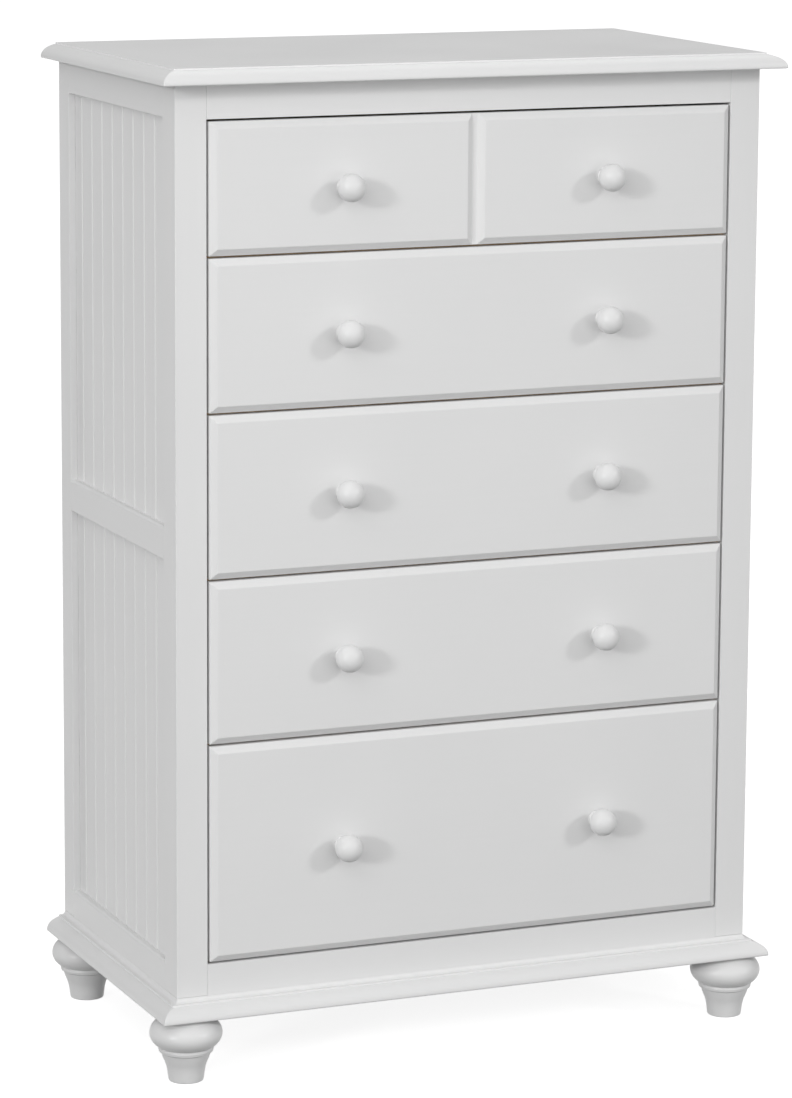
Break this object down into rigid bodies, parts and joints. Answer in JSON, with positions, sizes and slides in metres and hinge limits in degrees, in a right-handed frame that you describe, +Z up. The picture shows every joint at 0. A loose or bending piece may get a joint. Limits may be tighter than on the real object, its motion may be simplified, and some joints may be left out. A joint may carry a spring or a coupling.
{
  "type": "tall chest of drawers",
  "caption": "Tall white painted chest of drawers with a moulded top and base, turned feet, grooved side panels, wide sliding drawers and round wooden knobs.",
  "frame": {"origin": "on the floor, under the centre of the whole width and depth, knobs and feet included", "axes": "+X to the right as seen from the front, +Y to the back, +Z up; the drawers face -Y"},
  "size_m": [0.922, 0.533, 1.38],
  "materials": {
    "white_paint": "wood under smooth white satin paint",
    "bare_wood": "sanded pale softwood with thin clear sealer",
    "plywood": "thin unpainted plywood"
  },
  "bodies": {
    "carcass": {"top_board": "white_paint", "base_board": "white_paint", "front_top_rail": "white_paint", "front_bottom_rail": "white_paint", "back_panel": "plywood", "shelf_under_drawer_1": "bare_wood", "shelf_under_drawer_2": "bare_wood", "shelf_under_drawer_3": "bare_wood", "shelf_under_drawer_4": "bare_wood", "front_left_foot": "white_paint", "rear_left_foot": "white_paint", "front_right_foot": "white_paint", "rear_right_foot": "white_paint", "front_left_post": "white_paint", "rear_left_post": "white_paint", "front_right_post": "white_paint", "rear_right_post": "white_paint", "left_top_rail": "white_paint", "left_middle_rail": "white_paint", "left_bottom_rail": "white_paint", "right_top_rail": "white_paint", "right_middle_rail": "white_paint", "right_bottom_rail": "white_paint", "left_side_panel": "white_paint", "right_side_panel": "white_paint"},
    "drawer_1": {"drawer_1_front": "white_paint", "drawer_1_left_side": "bare_wood", "drawer_1_right_side": "bare_wood", "drawer_1_back": "bare_wood", "drawer_1_bottom": "bare_wood", "drawer_1_left_knob": "white_paint", "drawer_1_right_knob": "white_paint"},
    "drawer_2": {"drawer_2_front": "white_paint", "drawer_2_left_side": "bare_wood", "drawer_2_right_side": "bare_wood", "drawer_2_back": "bare_wood", "drawer_2_bottom": "bare_wood", "drawer_2_left_knob": "white_paint", "drawer_2_right_knob": "white_paint"},
    "drawer_3": {"drawer_3_front": "white_paint", "drawer_3_left_side": "bare_wood", "drawer_3_right_side": "bare_wood", "drawer_3_back": "bare_wood", "drawer_3_bottom": "bare_wood", "drawer_3_left_knob": "white_paint", "drawer_3_right_knob": "white_paint"},
    "drawer_4": {"drawer_4_front": "white_paint", "drawer_4_left_side": "bare_wood", "drawer_4_right_side": "bare_wood", "drawer_4_back": "bare_wood", "drawer_4_bottom": "bare_wood", "drawer_4_left_knob": "white_paint", "drawer_4_right_knob": "white_paint"},
    "drawer_5": {"drawer_5_front": "white_paint", "drawer_5_left_side": "bare_wood", "drawer_5_right_side": "bare_wood", "drawer_5_back": "bare_wood", "drawer_5_bottom": "bare_wood", "drawer_5_left_knob": "white_paint", "drawer_5_right_knob": "white_paint"}
  },
  "joints": [
    {"name": "drawer_1_slide", "type": "slide", "parent": "carcass", "child": "drawer_1", "axis": [0, -1, 0], "range_m": [0, 0.3]},
    {"name": "drawer_2_slide", "type": "slide", "parent": "carcass", "child": "drawer_2", "axis": [0, -1, 0], "range_m": [0, 0.3]},
    {"name": "drawer_3_slide", "type": "slide", "parent": "carcass", "child": "drawer_3", "axis": [0, -1, 0], "range_m": [0, 0.3]},
    {"name": "drawer_4_slide", "type": "slide", "parent": "carcass", "child": "drawer_4", "axis": [0, -1, 0], "range_m": [0, 0.3]},
    {"name": "drawer_5_slide", "type": "slide", "parent": "carcass", "child": "drawer_5", "axis": [0, -1, 0], "range_m": [0, 0.3]}
  ]
}
